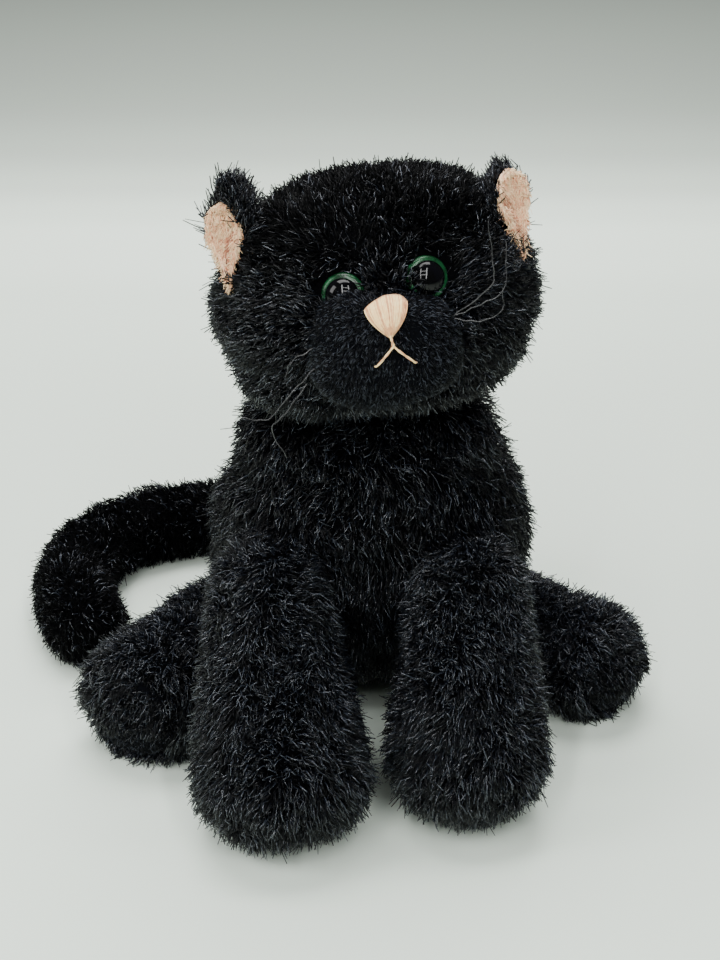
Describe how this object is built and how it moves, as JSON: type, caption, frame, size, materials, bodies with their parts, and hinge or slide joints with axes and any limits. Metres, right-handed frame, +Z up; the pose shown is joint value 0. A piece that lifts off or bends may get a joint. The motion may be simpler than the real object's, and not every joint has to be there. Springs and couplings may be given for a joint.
{
  "type": "plush cat",
  "caption": "Sitting long-pile plush cat with sewn-on bendable head, ears, legs and tail, weighted seat and paws, and an embroidered nose.",
  "frame": {"origin": "middle of the flat seat under the torso, on the surface that the cat sits on", "axes": "+Z up, -Y the way the cat faces, +X the cat's own left"},
  "size_m": [0.1648, 0.1663, 0.1509],
  "materials": {
    "black_plush": "long curly plush pile, straggly and slightly glossy",
    "short_plush": "short dense pile",
    "pink_plush": "short brushed pile",
    "fibre_fill": "loose polyester fibre",
    "pellet_fill": "small plastic pellets in a thin bag",
    "eye_green": "polished, clear over green",
    "eye_black": "polished",
    "washer_plastic": "moulded",
    "nose_thread": "satin stitch",
    "whisker_nylon": "crimped filament",
    "seam_thread": "thread"
  },
  "bodies": {
    "torso": {"torso_cover": "black_plush", "torso_stuffing": "fibre_fill", "seat_pellet_bag": "pellet_fill"},
    "neck": {"neck_stuffing": "fibre_fill"},
    "neck_seam": {"neck_seam_thread": "seam_thread"},
    "head": {"head_cover": "black_plush", "head_stuffing": "fibre_fill", "muzzle_cover": "short_plush", "muzzle_stuffing": "fibre_fill", "nose_pad": "nose_thread", "mouth_stem_stitch": "nose_thread", "mouth_left_stitch": "nose_thread", "mouth_right_stitch": "nose_thread", "left_eye_disc": "eye_green", "left_eye_pupil": "eye_black", "left_eye_washer": "washer_plastic", "right_eye_disc": "eye_green", "right_eye_pupil": "eye_black", "right_eye_washer": "washer_plastic", "left_upper_whisker": "whisker_nylon", "left_middle_whisker": "whisker_nylon", "left_lower_whisker": "whisker_nylon", "right_upper_whisker": "whisker_nylon", "right_middle_whisker": "whisker_nylon", "right_lower_whisker": "whisker_nylon"},
    "left_ear": {"left_ear_back": "black_plush", "left_ear_lining": "pink_plush"},
    "right_ear": {"right_ear_back": "black_plush", "right_ear_lining": "pink_plush"},
    "left_front_leg": {"left_front_leg_cover": "black_plush", "left_front_leg_stuffing": "fibre_fill", "left_front_paw_pellet_bag": "pellet_fill"},
    "left_hind_leg": {"left_hind_leg_cover": "black_plush", "left_hind_leg_stuffing": "fibre_fill", "left_hind_foot_pellet_bag": "pellet_fill", "left_hind_sole_pad": "short_plush"},
    "right_front_leg": {"right_front_leg_cover": "black_plush", "right_front_leg_stuffing": "fibre_fill", "right_front_paw_pellet_bag": "pellet_fill"},
    "right_hind_leg": {"right_hind_leg_cover": "black_plush", "right_hind_leg_stuffing": "fibre_fill", "right_hind_foot_pellet_bag": "pellet_fill", "right_hind_sole_pad": "short_plush"},
    "tail_base": {"tail_base_cover": "black_plush", "tail_base_stuffing": "fibre_fill"},
    "tail_middle": {"tail_middle_cover": "black_plush", "tail_middle_stuffing": "fibre_fill"},
    "tail_tip": {"tail_tip_cover": "black_plush", "tail_tip_stuffing": "fibre_fill"}
  },
  "joints": [
    {"name": "neck_turn", "type": "hinge", "parent": "torso", "child": "neck", "pos_m": [0.0045, -0.038, 0.09], "axis": [0, 0, 1], "range_deg": [-35, 35], "stiffness_Nm_per_rad": 0.12},
    {"name": "neck_nod", "type": "hinge", "parent": "neck", "child": "neck_seam", "pos_m": [0.0045, -0.038, 0.09], "axis": [1, 0, 0], "range_deg": [-12, 12], "stiffness_Nm_per_rad": 0.25},
    {"name": "neck_tilt", "type": "hinge", "parent": "neck_seam", "child": "head", "pos_m": [0.0045, -0.038, 0.09], "axis": [0, 1, 0], "range_deg": [-12, 12], "stiffness_Nm_per_rad": 0.25},
    {"name": "left_ear_bend", "type": "hinge", "parent": "head", "child": "left_ear", "pos_m": [0.03467, -0.04544, 0.13602], "axis": [0.8089, 0.5872, -0.0303], "range_deg": [-8, 20], "stiffness_Nm_per_rad": 0.004},
    {"name": "right_ear_bend", "type": "hinge", "parent": "head", "child": "right_ear", "pos_m": [-0.03414, -0.05146, 0.12753], "axis": [0.8659, -0.4407, 0.2367], "range_deg": [-8, 20], "stiffness_Nm_per_rad": 0.004},
    {"name": "left_front_leg_swing", "type": "hinge", "parent": "torso", "child": "left_front_leg", "pos_m": [0.023, -0.061, 0.053], "axis": [-1, 0, 0], "range_deg": [-5, 35]},
    {"name": "right_front_leg_swing", "type": "hinge", "parent": "torso", "child": "right_front_leg", "pos_m": [-0.023, -0.062, 0.053], "axis": [-1, 0, 0], "range_deg": [-5, 35]},
    {"name": "left_hind_leg_spread", "type": "hinge", "parent": "torso", "child": "left_hind_leg", "pos_m": [0.039, -0.008, 0.014], "axis": [0, 0, 1], "range_deg": [-4, 12]},
    {"name": "right_hind_leg_spread", "type": "hinge", "parent": "torso", "child": "right_hind_leg", "pos_m": [-0.039, -0.012, 0.014], "axis": [0, 0, -1], "range_deg": [-4, 12]},
    {"name": "tail_base_bend", "type": "hinge", "parent": "torso", "child": "tail_base", "pos_m": [-0.005, 0.03, 0.014], "axis": [0, 0, 1], "range_deg": [-12, 3]},
    {"name": "tail_middle_bend", "type": "hinge", "parent": "tail_base", "child": "tail_middle", "pos_m": [-0.05, 0.055, 0.01], "axis": [0, 0, 1], "range_deg": [-18, 3]},
    {"name": "tail_tip_bend", "type": "hinge", "parent": "tail_middle", "child": "tail_tip", "pos_m": [-0.084, 0.017, 0.0098], "axis": [0, 0, 1], "range_deg": [-18, 5]}
  ]
}
